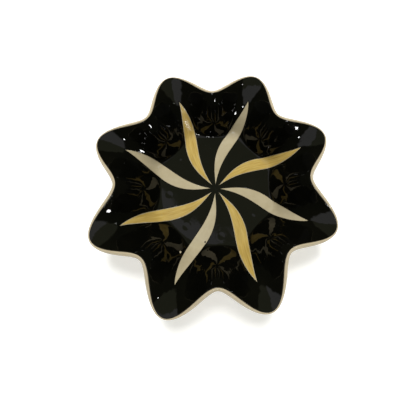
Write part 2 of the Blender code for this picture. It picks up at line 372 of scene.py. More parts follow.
from_dent = difference(tree, angle, size["Dent Angle"])
step = ratio(tree, 2 * math.pi, size["Lobes"])
half_step = product(tree, step, 0.5)
from_dent = maths(tree, "FLOORED_MODULO", total(tree, from_dent, half_step), step)
from_dent = difference(tree, from_dent, half_step)
aside = product(tree, station, maths(tree, "SINE", from_dent))
reached = product(tree, station, maths(tree, "COSINE", from_dent))
along = difference(tree, reached, size["Dent Station"])
squares = total(tree, product(tree, aside, aside), product(tree, along, along))
dent_share = ratio(tree, maths(tree, "SQRT", squares), size["Dent Radius"])


def bell(centre, width):
    """A smooth bump that is 1 at the given share of the dent's radius."""
    away = ratio(tree, difference(tree, dent_share, centre), width)
    return maths(tree, "EXPONENT", product(tree, product(tree, away, away), -1.0))


sunk = product(tree, size["Dent Depth"], bell(0.0, 0.72))
raised = product(tree, size["Dent Rim"], bell(1.15, 0.28))
lift = total(tree, waves, difference(tree, raised, sunk))

moved = vectors(tree, "ADD", point, scaled(tree, normal, total(tree, flat.outputs["Z"], lift)))
moved = vectors(tree, "ADD", moved, scaled(tree, off_the_rim, over_rim))
place = tree.nodes.new("GeometryNodeSetPosition")
tree.links.new(source.outputs["Geometry"], place.inputs["Geometry"])
tree.links.new(scaled(tree, moved, MM), place.inputs["Position"])
realize = tree.nodes.new("GeometryNodeRealizeInstances")
tree.links.new(place.outputs["Geometry"], realize.inputs["Geometry"])
glaze = tree.nodes.new("GeometryNodeSetMaterial")
tree.links.new(realize.outputs["Geometry"], glaze.inputs["Geometry"])
tree.links.new(source.outputs["Glaze"], glaze.inputs["Material"])
tree.links.new(glaze.outputs["Geometry"], result.inputs["Geometry"])
print("roll-up tree has", len(roll_tree.nodes), "nodes")

# %% [markdown]
# ## From a flat layer to a piece
#
# A flat layer is a plain list of points and faces. The helper below makes it a mesh,
# rolls it up with the tree, and takes the result as a plain mesh, so no modifier is
# left on the piece. The piece then rides on the dish's one body and stands for the
# frame's node.

# %% Helper: roll up a flat layer
def socket_identifier(name):
    for item in roll_tree.interface.items_tree:
        if item.item_type == "SOCKET" and item.in_out == "INPUT" and item.name == name:
            return item.identifier
    raise KeyError(name)


def flat_object(name, points, faces, places=None):
    """A flat layer as an object. Places are an optional vector for each point."""
    mesh = bpy.data.meshes.new(name)
    mesh.from_pydata(points, [], faces)
    if places is not None:
        attribute = mesh.attributes.new("leaf_place", "FLOAT_VECTOR", "POINT")
        attribute.data.foreach_set("vector", np.asarray(places, np.float32).ravel())
    layer = bpy.data.objects.new(name, mesh)
    bpy.context.scene.collection.objects.link(layer)
    return layer


def roll_up(layer, finish, **settings):
    """Rolls a flat layer up into the dish and leaves a plain mesh with one material."""
    rolling = layer.modifiers.new("roll up", "NODES")
    rolling.node_group = roll_tree
    rolling[socket_identifier("Glaze")] = finish
    for name, value in settings.items():
        rolling[socket_identifier(name.replace("_", " ").title())] = value
    bpy.context.view_layer.update()
    evaluated = layer.evaluated_get(bpy.context.evaluated_depsgraph_get())
    rolled = bpy.data.meshes.new_from_object(evaluated)
    layer.modifiers.remove(rolling)
    flat_mesh = layer.data
    layer.data = rolled
    rolled.name = layer.name
    bpy.data.meshes.remove(flat_mesh)
    if not rolled.materials:
        rolled.materials.append(finish)
    rolled.shade_smooth()
    return layer


GLAZED_SURFACE = {"broad_waves": 0.5, "fine_waves": 0.35, "runs": 0.45}


def settle(piece, slot_name, *nodes):
    """The piece rides on the dish and stands for the frame's nodes."""
    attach(piece, "root")
    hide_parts(*nodes)
    low, high = (tuple(round(v / MM, 1) for v in corner) for corner in piece_box(piece))
    print(piece.name, len(piece.data.polygons), "faces, from", low, "to", high, "mm")


def piece_box(piece):
    corners = np.empty(len(piece.data.vertices) * 3, np.float32)
    piece.data.vertices.foreach_get("co", corners)
    corners = corners.reshape(-1, 3)
    return corners.min(0), corners.max(0)


# %% [markdown]
# ## Finishes: one group for each effect
#
# Glaze is glass that ran, so it is never quite even. Three effects are shared by the
# finishes, and each is a group that is built once: a mottle that drifts between two
# colours, pinholes where gas broke the surface, and a fine ripple for the bump. Each
# group puts out a colour, a mask or a height; the shader itself stays in each material.

# %% Groups: mottle, pinholes and ripple
def mottle_group():
    group, source, result = new_group(
        "Glaze Mottle",
        "ShaderNodeTree",
        [
            ("Vector", "Vector", None),
            ("Colour A", "Color", (0.5, 0.5, 0.5, 1.0)),
            ("Colour B", "Color", (0.4, 0.4, 0.4, 1.0)),
            ("Scale", "Float", 60.0),
            ("Spread", "Float", 2.0),
        ],
        [("Colour", "Color"), ("Amount", "Float")],
    )
    given = source.outputs
    cloud = noise_value(group, given["Vector"], given["Scale"], detail=5.0, roughness=0.6)
    spread = product(group, difference(group, cloud, 0.5), given["Spread"])
    amount = total(group, spread, 0.5)
    mix = group.nodes.new("ShaderNodeMix")
    mix.data_type = "RGBA"
    mix.clamp_factor = True
    group.links.new(amount, mix.inputs["Factor"])
    group.links.new(given["Colour A"], mix.inputs["A"])
    group.links.new(given["Colour B"], mix.inputs["B"])
    group.links.new(mix.outputs["Result"], result.inputs["Colour"])
    group.links.new(amount, result.inputs["Amount"])
    return group


def pinhole_group():
    group, source, result = new_group(
        "Pinholes",
        "ShaderNodeTree",
        [
            ("Vector", "Vector", None),
            ("Scale", "Float", 160.0),
            ("Size", "Float", 0.08),
            ("Rarity", "Float", 0.8),
        ],
        [("Mask", "Float")],
    )
    given = source.outputs
    cells = group.nodes.new("ShaderNodeTexVoronoi")
    group.links.new(given["Vector"], cells.inputs["Vector"])
    group.links.new(given["Scale"], cells.inputs["Scale"])
    shade = group.nodes.new("ShaderNodeSeparateColor")
    group.links.new(cells.outputs["Color"], shade.inputs["Color"])
    chosen = maths(group, "GREATER_THAN", shade.outputs["Red"], given["Rarity"])
    near = ratio(group, cells.outputs["Distance"], given["Size"])
    spot = maths(group, "MAXIMUM", difference(group, 1.0, product(group, near, near)), 0.0)
    group.links.new(product(group, spot, chosen), result.inputs["Mask"])
    return group


def ripple_group():
    group, source, result = new_group(
        "Glaze Ripple",
        "ShaderNodeTree",
        [
            ("Vector", "Vector", None),
            ("Broad Scale", "Float", 90.0),
            ("Fine Scale", "Float", 700.0),
            ("Fine Share", "Float", 0.15),
        ],
        [("Height", "Float")],
    )
    given = source.outputs
    broad = noise_value(group, given["Vector"], given["Broad Scale"], detail=1.0)
    fine = noise_value(group, given["Vector"], given["Fine Scale"], detail=3.0)
    height = total(group, broad, product(group, fine, given["Fine Share"]))
    group.links.new(height, result.inputs["Height"])
    return group


MOTTLE = mottle_group()
PINHOLES = pinhole_group()
RIPPLE = ripple_group()
print("shared effects:", [group.name for group in (MOTTLE, PINHOLES, RIPPLE)])

# %% Helpers for the finishes
def use_group(tree, group, **values):
    """A copy of a shared effect in a material, with this material's own values."""
    node = tree.nodes.new("ShaderNodeGroup")
    node.node_tree = group
    for name, value in values.items():
        plug(tree, value, node.inputs[name.replace("_", " ").title()])
    return node.outputs


def mixed(tree, factor, first, second):
    node = tree.nodes.new("ShaderNodeMix")
    node.data_type = "RGBA"
    node.clamp_factor = True
    plug(tree, factor, node.inputs["Factor"])
    plug(tree, first, node.inputs["A"])
    plug(tree, second, node.inputs["B"])
    return node.outputs["Result"]


def remapped(tree, value, low, high, to_low, to_high):
    node = tree.nodes.new("ShaderNodeMapRange")
    for socket, number in zip(node.inputs, (value, low, high, to_low, to_high)):
        plug(tree, number, socket)
    return node.outputs["Result"]


def new_finish(name, ior=1.5):
    """A material with a Principled shader, its object coordinates and a bump node."""
    finish = bpy.data.materials.new(name)
    finish.use_nodes = True
    tree = finish.node_tree
    shader = tree.nodes["Principled BSDF"]
    shader.inputs["IOR"].default_value = ior
    coordinates = tree.nodes.new("ShaderNodeTexCoord").outputs["Object"]
    bump = tree.nodes.new("ShaderNodeBump")
    tree.links.new(bump.outputs["Normal"], shader.inputs["Normal"])
    return finish, tree, shader, coordinates, bump


def ripple_height(tree, coordinates, broad, fine, fine_share):
    ripple = use_group(
        tree, RIPPLE, vector=coordinates, broad_scale=broad, fine_scale=fine, fine_share=fine_share
    )
    return ripple["Height"]


def raise_bump(tree, bump, height, strength, distance):
    """Sends a height to the bump node, which stands for a relief of distance metres."""
    tree.links.new(height, bump.inputs["Height"])
    bump.inputs["Strength"].default_value = strength
    bump.inputs["Distance"].default_value = distance


# %% [markdown]
# ## The black glaze
#
# The lining is a thick, very dark glaze with a green-brown tinge, as iron gives. Nearly
# all that the eye gets from it is reflection, so the finish is a very low roughness, a
# faint mottle in the dark colour, a slow ripple in the bump, and rare tiny pinholes.

# %% Finish: black glaze
def black_glaze_finish():
    finish, tree, shader, coordinates, bump = new_finish("mirror black glaze", ior=1.38)
    mottle = use_group(
        tree, MOTTLE, vector=coordinates, scale=45.0, spread=2.4,
        colour_a=(0.0010, 0.0011, 0.0007, 1.0), colour_b=(0.0024, 0.0023, 0.0014, 1.0),
    )
    tree.links.new(mottle["Colour"], shader.inputs["Base Color"])
    pits = use_group(tree, PINHOLES, vector=coordinates, scale=130.0, size=0.06, rarity=0.86)
    cloud = remapped(tree, mottle["Amount"], 0.2, 0.9, 0.02, 0.05)
    tree.links.new(total(tree, cloud, product(tree, pits["Mask"], 0.3)), shader.inputs["Roughness"])
    ripple = ripple_height(tree, coordinates, 70.0, 420.0, 0.12)
    raise_bump(tree, bump, difference(tree, ripple, pits["Mask"]), 1.0, 0.00012)
    return finish


BLACK = black_glaze_finish()
print("finish:", BLACK.name)

# %% [markdown]
# ## The cream glaze
#
# The same cream is on the outside, on the lip and in the leaves. It is a milky glaze
# over a buff clay: warm, slightly uneven, a little darker where it ran thin, and with
# small dark specks and pinholes. The leaves get a slightly greyer version.

# %% Finish: cream glaze
def cream_finish(name, light, dark, rarity):
    finish, tree, shader, coordinates, bump = new_finish(name)
    mottle = use_group(
        tree, MOTTLE, vector=coordinates, scale=38.0, spread=1.7, colour_a=light, colour_b=dark
    )
    thin = use_group(
        tree, MOTTLE, vector=coordinates, scale=230.0, spread=1.2,
        colour_a=(1.0, 1.0, 1.0, 1.0), colour_b=(0.86, 0.82, 0.74, 1.0),
    )
    shade = tree.nodes.new("ShaderNodeMix")
    shade.data_type = "RGBA"
    shade.blend_type = "MULTIPLY"
    shade.inputs["Factor"].default_value = 1.0
    tree.links.new(mottle["Colour"], shade.inputs["A"])
    tree.links.new(thin["Colour"], shade.inputs["B"])
    specks = use_group(tree, PINHOLES, vector=coordinates, scale=210.0, size=0.1, rarity=rarity)
    colour = mixed(tree, specks["Mask"], shade.outputs["Result"], (0.09, 0.06, 0.035, 1.0))
    tree.links.new(colour, shader.inputs["Base Color"])
    plug(tree, remapped(tree, mottle["Amount"], 0.2, 0.9, 0.11, 0.22), shader.inputs["Roughness"])
    ripple = ripple_height(tree, coordinates, 120.0, 900.0, 0.2)
    height = difference(tree, ripple, product(tree, specks["Mask"], 1.5))
    raise_bump(tree, bump, height, 0.8, 0.0002)
    return finish


CREAM = cream_finish("warm cream glaze", (0.54, 0.47, 0.345, 1.0), (0.45, 0.38, 0.26, 1.0), 0.93)
LEAF_CREAM = cream_finish(
    "leaf cream glaze", (0.46, 0.405, 0.28, 1.0), (0.39, 0.335, 0.22, 1.0), 0.97
)
print("finishes:", CREAM.name, "and", LEAF_CREAM.name)

# %% [markdown]
# ## The golden wash
#
# The gold isn't metal: it is an ochre wash, put on with a few strokes of a soft brush
# along the leaf and fired under a clear glaze. So the streaks have to follow the leaf.
# Each point of a leaf carries its own place, in millimetres across and along the leaf,
# and the streaks are a noise that is stretched along it. The paler bristle streaks are
# partly the wash's own lighter brush marks and partly a painted highlight on their ridges.

# %% Finish: golden wash
def golden_finish():
    finish, tree, shader, coordinates, bump = new_finish("brushed golden wash")
    leaf_place = tree.nodes.new("ShaderNodeAttribute")
    leaf_place.attribute_name = "leaf_place"
    stretch = tree.nodes.new("ShaderNodeMapping")
    stretch.inputs["Scale"].default_value = (0.75, 0.045, 1.0)
    tree.links.new(leaf_place.outputs["Vector"], stretch.inputs["Vector"])
    strokes = noise_value(tree, stretch.outputs["Vector"], 1.0, detail=4.0, roughness=0.65)
    hairs = tree.nodes.new("ShaderNodeMapping")
    hairs.inputs["Scale"].default_value = (3.0, 0.09, 1.0)
    tree.links.new(leaf_place.outputs["Vector"], hairs.inputs["Vector"])
    bristle_marks_and_painted_sheen = noise_value(tree, hairs.outputs["Vector"], 1.0, detail=2.0)
    base = mixed(
        tree, remapped(tree, strokes, 0.38, 0.66, 0.0, 1.0),
        (0.47, 0.335, 0.095, 1.0), (0.33, 0.21, 0.04, 1.0),
    )
    # Paler bristle streaks: partly the wash's own lighter brush marks, partly a painted highlight
    # along the ridges.
    bristle_tone_and_painted_highlight = remapped(tree, bristle_marks_and_painted_sheen, 0.52, 0.75, 0.0, 0.55)
    colour = mixed(tree, bristle_tone_and_painted_highlight, base, (0.52, 0.41, 0.17, 1.0))
    tree.links.new(colour, shader.inputs["Base Color"])
    tree.links.new(remapped(tree, bristle_marks_and_painted_sheen, 0.3, 0.7, 0.13, 0.26), shader.inputs["Roughness"])
    ripple = ripple_height(tree, coordinates, 140.0, 900.0, 0.2)
    raise_bump(tree, bump, total(tree, ripple, product(tree, bristle_marks_and_painted_sheen, 0.6)), 0.7, 0.0002)
    return finish


GOLD = golden_finish()
print("finish:", GOLD.name)

# %% [markdown]
# ## The bare clay
#
# Under the foot, the glaze was wiped off so that the dish wouldn't stick to the kiln
# shelf. The bare clay there is dry and sandy, a little darker where fingers and tables
# have rubbed it.

# %% Finish: fired clay
def clay_finish():
    finish, tree, shader, coordinates, bump = new_finish("bare fired clay")
    mottle = use_group(
        tree, MOTTLE, vector=coordinates, scale=55.0, spread=2.2,
        colour_a=(0.60, 0.46, 0.32, 1.0), colour_b=(0.47, 0.34, 0.22, 1.0),
    )
    grit = use_group(tree, PINHOLES, vector=coordinates, scale=420.0, size=0.25, rarity=0.8)
    colour = mixed(tree, product(tree, grit["Mask"], 0.6), mottle["Colour"], (0.25, 0.16, 0.1, 1.0))
    tree.links.new(colour, shader.inputs["Base Color"])
    plug(tree, remapped(tree, mottle["Amount"], 0.2, 0.8, 0.75, 0.95), shader.inputs["Roughness"])
    ripple = ripple_height(tree, coordinates, 300.0, 1600.0, 0.8)
    raise_bump(tree, bump, total(tree, ripple, grit["Mask"]), 1.0, 0.0003)
    return finish


CLAY = clay_finish()
print("finish:", CLAY.name)

# %% [markdown]
# ## The leaf shape
#
# A leaf lies along its flute but swirls near the middle: a cosine turns it from the
# flute's own line. Its half width is a sine with its belly pushed a little outwards,
# so it comes to a point at both ends.

# %% The leaf's turn and width
LEAF_ROOT = 4.0
LEAF_TIP = 90.0
LEAF_HALF_WIDTH = 6.5
LEAF_BELLY = 1.22
LEAF_TURN = math.radians(8.3)
LEAF_TURN_SWING = math.radians(9.5)
LEAF_TURN_WAVE = 1.1


def leaf_share(station):
    return min(max((station - LEAF_ROOT) / (LEAF_TIP - LEAF_ROOT), 0.0), 1.0)


def leaf_turn(station):
    turn = LEAF_TURN + LEAF_TURN_SWING * math.cos(LEAF_TURN_WAVE * math.pi * leaf_share(station))
    if station > LEAF_TIP:
        turn *= max(RIM_STATION - station, 0.0) / (RIM_STATION - LEAF_TIP)
    return turn


def leaf_half_width(station):
    """Half the leaf's width in mm; zero beyond its two points."""
    share = leaf_share(station)
    if share <= 0.0 or share >= 1.0:
        return 0.0
    return LEAF_HALF_WIDTH * math.sin(math.pi * share ** LEAF_BELLY)


def even_steps(start, end, step):
    count = max(1, round((end - start) / step))
    return [start + (end - start) * index / count for index in range(count)]


LEAF_STATIONS = [LEAF_ROOT, 4.5, 5.2, 6.2, 7.5, 9.0, 11.0, 13.0]
LEAF_STATIONS += even_steps(15.0, 39.0, 2.4)
LEAF_STATIONS += even_steps(39.0, 54.0, 0.8)
LEAF_STATIONS += even_steps(54.0, 66.0, 0.9)
LEAF_STATIONS += even_steps(66.0, 84.0, 1.3)
LEAF_STATIONS += even_steps(84.0, LEAF_TIP, 0.9) + [LEAF_TIP]
print(len(LEAF_STATIONS), "rows along a leaf")

# %% [markdown]
# ## The black lining
#
# The flat lining is a grid: rows of equal station, and columns that follow the edges of
# the leaves. The cells between a leaf's two edges are left out, which opens the windows
# with a clean outline. Close to a window the columns crowd together and sink in a
# quarter circle, because thick glaze pulls back into a rounded edge. The same grid,
# deeper, is the lining's underside, and walls close all its edges.

# %% Helper: thicken a flat sheet
def thicken(top, bottom, faces):
    """Adds the underside and the walls, so that the sheet is one closed solid."""
    key_of = {}
    kept = []
    for index, (station, angle, height) in enumerate(top):
        key = (round(station, 5), round(angle % (2 * math.pi), 5), round(height, 5))
        kept.append(key_of.setdefault(key, index))
    merged = [tuple(dict.fromkeys(kept[index] for index in face)) for face in faces]
    merged = [face for face in merged if len(face) > 2]
    count = len(top)
    solid = list(merged)
    solid += [tuple(index + count for index in reversed(face)) for face in merged]
    sides = {(face[k - 1], face[k]) for face in merged for k in range(len(face))}
    for start, end in sorted(sides):
        if (end, start) not in sides:
            solid.append((end, start, start + count, end + count))
    points = list(top) + list(bottom)
    used = sorted({index for face in solid for index in face})
    renumbered = {old: new for new, old in enumerate(used)}
    solid = [tuple(renumbered[index] for index in face) for face in solid]
    return [points[old] for old in used], solid, used


# %% The lining's columns
EDGE_ROLL = 0.6
EDGE_STEPS = (0.0, 0.06, 0.16, 0.3, 0.45, 0.62, 0.9)
FREE_COLUMNS = 36


def rolled_depth(distance, roll):
    """How far a rounded glaze edge has sunk at a distance in mm from its brink."""
    if distance >= roll:
        return 0.0
    return roll * (1.0 - math.sqrt(1.0 - (1.0 - distance / roll) ** 2))


def lining_columns(station):
    """The angle of each column, and its distance from the nearest leaf edge in mm."""
    radius = max(station, LEAF_ROOT)
    half = leaf_half_width(station) / radius
    columns = []
    for lobe in range(LOBES):
        middle = FIRST_LOBE + lobe * LOBE_STEP + leaf_turn(station)
        start = middle + half
        end = middle + LOBE_STEP - half
        reach = EDGE_STEPS[-1] / radius
        columns += [(start + step / radius, step) for step in EDGE_STEPS]
        for index in range(1, FREE_COLUMNS + 1):
            share = index / (FREE_COLUMNS + 1)
            columns.append((start + reach + share * (end - start - 2 * reach), EDGE_STEPS[-1]))
        columns += [(end - step / radius, step) for step in reversed(EDGE_STEPS)]
    return columns


print(len(lining_columns(50.0)), "columns round the lining")

# %% [markdown]
# The lining stops just short of the lip, and the line where it stops wanders a little:
# it keeps close to the rim at the lobe tips and leaves more cream on their flanks.

# %% Where the lining stops
LINING_MARGIN = 0.43
FLANK_MARGIN = 0.9
EDGE_WANDER = 0.35
WANDER_PITCH = 3.0
WANDER_SEED = 1.7
WANDER_BIAS = 0.3


def lining_stop(angle):
    """The station of the lining's outer edge."""
    flank = math.sin(LOBES * (angle - FIRST_LOBE)) ** 2
    across, along = WANDER_PITCH * math.cos(angle), WANDER_PITCH * math.sin(angle)
    wander = EDGE_WANDER * (noise.noise(Vector((across, along, WANDER_SEED))) + WANDER_BIAS)
    return RIM_STATION - LINING_MARGIN - FLANK_MARGIN * flank - wander


MIDDLE_STATIONS = [0.6, 1.4, 2.2, 3.0, 3.6]
LAST_GRID_STATION = 110.6
LINING_STATIONS = MIDDLE_STATIONS + LEAF_STATIONS
LINING_STATIONS += even_steps(LEAF_TIP + 0.8, LAST_GRID_STATION, 1.1)
BRINK_STEPS = (1.6, 1.1, 0.75, 0.5, 0.3, 0.15, 0.05, 0.0)


def seam_fade(station):
    """Fades the sunk edge to nothing beyond the points of a leaf."""
    return min(1.0, leaf_half_width(station) / EDGE_ROLL)


def lining_points():
    """The rows of the lining's upper side as flat points, from the middle to the brink."""
    rows = []
    for station in LINING_STATIONS:
        stretch = max(station - LEAF_TIP, 0.0) / (RIM_STATION - LEAF_TIP)
        fade = seam_fade(station)
        row = []
        for angle, distance in lining_columns(station):
            here = station - stretch * (RIM_STATION - lining_stop(angle))
            row.append((here, angle, -fade * rolled_depth(distance, EDGE_ROLL)))
        rows.append(row)
    for step in BRINK_STEPS:
        row = []
        for angle, _ in lining_columns(RIM_STATION):
            row.append((lining_stop(angle) - step, angle, -rolled_depth(step, EDGE_ROLL)))
        rows.append(row)
    return rows


def make_lining():
    rows = lining_points()
    count = len(rows[0])
    per_lobe = count // LOBES
    top = [point for row in rows for point in row]
    bottom = [(station, angle, -LINING_THICK) for station, angle, _ in top]
    faces = []
    for row in range(len(rows) - 1):
        station = LINING_STATIONS[min(row, len(LINING_STATIONS) - 1)]
        has_windows = LEAF_ROOT <= station < LEAF_TIP
        for left in range(count):
            is_window = has_windows and (left + 1) % per_lobe == 0
            if not is_window:
                a, b = row * count + left, row * count + (left + 1) % count
                faces.append((a, a + count, b + count, b))
    middle = len(top)
    top.append((0.0, 0.0, 0.0))
    bottom.append((0.0, 0.0, -LINING_THICK))
    faces += [(middle, left, (left + 1) % count) for left in range(count)]
    points, solid, _ = thicken(top, bottom, faces)
    layer = flat_object("lining", points, solid)
    return roll_up(layer, BLACK, **GLAZED_SURFACE, dent_depth=0.28, dent_rim=0.05)


lining = make_lining()
settle(lining, "black_glaze", "black_glaze")

# %% [markdown]
# ## The leaves
#
# Each leaf is a strip between its two edges. The cream leaves fill the depth of the
# lining. The golden ones are two pieces: a lower cream leaf, and over it the thin wash,
# which stops a little short of the leaf's edge, so a cream border shows round it.

# %% Helper: a leaf from its edges
ACROSS = 12
LEAF_CROWN = 0.10
LEAST_HALF_WIDTH = 0.05
SWAY_PITCH, SWAY_SEED = 0.16, 7.3
FRAY_PITCH, FRAY_SEED, FRAY_LAYER = 0.55, 3.1, 5.0
PLACE_OFFSET = 40.0


def leaf_strip(lobe, inset, depth, bottom_depth, first, last, ragged=0.0):
    """Flat points, faces and places of a leaf that is narrower than its window."""
    stations = [station for station in LEAF_STATIONS if first < station < last]
    middle_of_lobe = FIRST_LOBE + lobe * LOBE_STEP
    top, faces, places = [], [], []

    def add(station, angle_offset, across, sink):
        top.append((station, middle_of_lobe + leaf_turn(station) + angle_offset, -depth - sink))
        places.append((across + PLACE_OFFSET * lobe, station, 0.0))

    add(first, 0.0, 0.0, 0.0)
    for station in stations:
        sway = ragged * noise.noise(Vector((station * SWAY_PITCH, lobe * SWAY_SEED, 0.0)))
        fray = ragged * noise.noise(Vector((station * FRAY_PITCH, lobe * FRAY_SEED, FRAY_LAYER)))
        half = leaf_half_width(station) - inset - abs(sway) - abs(fray)
        half = max(half, LEAST_HALF_WIDTH)
        for column in range(ACROSS + 1):
            share = 2.0 * column / ACROSS - 1.0
            share = math.sin(share * math.pi / 2)
            sink = LEAF_CROWN * share ** 4
            add(station, share * half / station, share * half, sink)
    add(last, 0.0, 0.0, 0.0)
    width = ACROSS + 1
    faces += [(0, 1 + column, 2 + column) for column in range(ACROSS)]
    for row in range(len(stations) - 1):
        for column in range(ACROSS):
            a = 1 + row * width + column
            faces.append((a, a + width, a + width + 1, a + 1))
    end = len(top) - 1
    start = 1 + (len(stations) - 1) * width
    faces += [(start + column, end, start + column + 1) for column in range(ACROSS)]
    bottom = [(station, angle, -bottom_depth) for station, angle, _ in top]
    return top, bottom, faces, places


def make_leaf(name, finish, *shape, **options):
    top, bottom, faces, places = leaf_strip(*shape, **options)
    points, solid, used = thicken(top, bottom, faces)
    both = places + places
    layer = flat_object(name, points, solid, [both[index] for index in used])
    return roll_up(layer, finish, **GLAZED_SURFACE)


# %% The eight leaves
LEAF_DEPTH = 0.42
LEAF_INSET = 0.02
LEAF_ENDS = (4.3, 89.8)
UNDER_DEPTH = 0.5
WASH_DEPTH = 0.4
WASH_BOTTOM = 0.49
WASH_INSET = 0.35
WASH_ENDS = (6.0, 88.6)
WASH_RAGGED = 0.5
for lobe in range(LOBES):
    number = lobe // 2 + 1
    if lobe % 2:
        shape = (lobe, LEAF_INSET, LEAF_DEPTH, LINING_THICK, *LEAF_ENDS)
        leaf = make_leaf(f"leaf_cream_{number}", LEAF_CREAM, *shape)
        settle(leaf, "cream_leaf_glaze", f"cream_leaf_{number}")
    else:
        shape = (lobe, LEAF_INSET, UNDER_DEPTH, LINING_THICK, *LEAF_ENDS)
        under = make_leaf(f"leaf_under_gold_{number}", LEAF_CREAM, *shape)
        settle(under, "cream_leaf_glaze", f"leaf_base_{number}")
        shape = (lobe, WASH_INSET, WASH_DEPTH, WASH_BOTTOM, *WASH_ENDS)
        wash = make_leaf(f"gold_brushed_{number}", GOLD, *shape, ragged=WASH_RAGGED)
        settle(wash, "golden_wash", f"golden_wash_{number}")

# %% [markdown]
# ## Two small faults
#
# A drop of cream fell on the black before firing, and gas burst through one cream leaf
# and left a small pit. Both are tiny domes that sit on the wall like the other layers; the
# pit's dome is black glaze, a painted shade for the dark of the hollow.

# %% The drop and the pit's painted shade
SPOT_RINGS, SPOT_COLUMNS = 4, 20
SPOT_WOBBLE = 0.12
SPOT_ROOT = 0.25


def make_spot(name, finish, station, degrees, radius, depth, height):
    """A small dome on the wall, given by its station, its angle and its size in mm."""
    rings, columns = SPOT_RINGS, SPOT_COLUMNS
    top, faces = [(station, math.radians(degrees), height - depth)], []
    for ring in range(1, rings + 1):
        share = ring / rings
        for column in range(columns):
            turn = 2 * math.pi * column / columns
            away = radius * share * (1.0 + SPOT_WOBBLE * math.sin(3 * turn))
            lift = height * math.sqrt(1.0 - share ** 2)
            angle = math.radians(degrees) + away * math.sin(turn) / station
            top.append((station + away * math.cos(turn), angle, lift - depth))
    faces += [(0, 1 + column, 1 + (column + 1) % columns) for column in range(columns)]
    for ring in range(rings - 1):
        for column in range(columns):
            a, b = 1 + ring * columns + column, 1 + ring * columns + (column + 1) % columns
            faces.append((a, a + columns, b + columns, b))
    bottom = [(x, angle, -depth - SPOT_ROOT) for x, angle, _ in top]
    points, solid, _ = thicken(top, bottom, faces)
    return roll_up(flat_object(name, points, solid), finish, **GLAZED_SURFACE)


drop = make_spot("cream_drop", CREAM, 69.5, 240.4, radius=0.95, depth=0.0, height=0.35)
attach(drop, "root")
# The pit is not sunk: its darkness is painted shade, a small raised dome of black glaze on the
# leaf.
painted_pit_shade = make_spot("leaf_painted_pit_shade", BLACK, 52.6, 257.6, radius=0.8, depth=LEAF_DEPTH, height=0.12)
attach(painted_pit_shade, "root")
print("spots:", drop.name, "and", painted_pit_shade.name)

# %% [markdown]
# ## The clay and the cream coat
#
# Both run round the rim, so each is a section that is carried round the dish: a list of
# stations and depths, joined row by row. The lip's rounding is half an ellipse of points
# whose stations lie past the rim.

# %% Helper: carry a section round the dish
COAT_COLUMNS = 480
CLAY_COLUMNS = 240
LIP_ROUNDNESS = 0.45


def carry_round(section, columns, closed):
    """Rows of points for each step of the section, and the faces between them."""
    points, faces = [], []
    for step in section:
        for column in range(columns):
            angle = 2 * math.pi * column / columns
            station, depth = step(angle)
            points.append((station, angle, -depth))
    steps = len(section)
    for row in range(steps if closed else steps - 1):
        following = (row + 1) % steps
        for column in range(columns):
            ahead = (column + 1) % columns
            a, b = row * columns + column, following * columns + column
            faces.append((a, b, following * columns + ahead, row * columns + ahead))
    return points, faces


def fixed(station, depth):
    return lambda angle: (station, depth)


def lip_steps(middle, half, count):
    """The rounded lip from its upper to its lower side, as steps past the rim."""
    steps = []
    for index in range(1, count):
        turn = math.pi * index / count
        bulge = half * LIP_ROUNDNESS * math.sin(turn)
        steps.append(fixed(RIM_STATION + bulge, middle - half * math.cos(turn)))
    return steps


# %% The clay body
WALL_STATIONS = even_steps(54.0, 68.0, 1.2) + even_steps(68.0, 107.0, 2.0)
WALL_STATIONS += even_steps(107.0, RIM_STATION, 1.0)
FLOOR_STATIONS = [10.0, 30.0, 42.0, 50.0]
CLAY_MIDDLE = (CLAY_TOP + CLAY_BOTTOM) / 2


def make_clay():
    stations = FLOOR_STATIONS + WALL_STATIONS + [RIM_STATION]
    section = [fixed(station, CLAY_TOP) for station in stations]
    section += lip_steps(CLAY_MIDDLE, (CLAY_BOTTOM - CLAY_TOP) / 2, 6)
    section += [fixed(station, CLAY_BOTTOM) for station in reversed(stations)]
    points, faces = carry_round(section, CLAY_COLUMNS, closed=False)
    last_row = (len(section) - 1) * CLAY_COLUMNS
    upper_middle = len(points)
    points += [(0.0, 0.0, -CLAY_TOP), (0.0, 0.0, -CLAY_BOTTOM)]
    for column in range(CLAY_COLUMNS):
        ahead = (column + 1) % CLAY_COLUMNS
        faces.append((upper_middle, column, ahead))
        faces.append((upper_middle + 1, last_row + ahead, last_row + column))
    broad_waves = GLAZED_SURFACE["broad_waves"]
    return roll_up(flat_object("clay", points, faces), CLAY, broad_waves=broad_waves)


clay = make_clay()
settle(clay, "fired_clay", "clay_body")

# %% [markdown]
# The coat starts beside the foot in a soft edge, covers the outside, turns over the lip
# and ends where the black lining begins.

# %% The cream coat
COAT_START = 50.2
COAT_STEP_DOWN = 0.8
LAYER_SLACK = 0.05
COAT_INNER_HALF = (CLAY_BOTTOM - CLAY_TOP) / 2 + LAYER_SLACK
LIP_MIDDLE = (COAT_STEP_DOWN + COAT_BOTTOM) / 2
LIP_HALF = (COAT_BOTTOM - COAT_STEP_DOWN) / 2
SEAM = 0.04


def beside_lining(depth):
    """A step that keeps to the lining's wandering edge."""
    return lambda angle: (lining_stop(angle) + SEAM, depth)


def between(share, depth):
    """A step part of the way from the lining's edge to the rim."""
    return lambda angle: (
        lining_stop(angle) + SEAM + share * (RIM_STATION - lining_stop(angle) - SEAM),
        depth,
    )


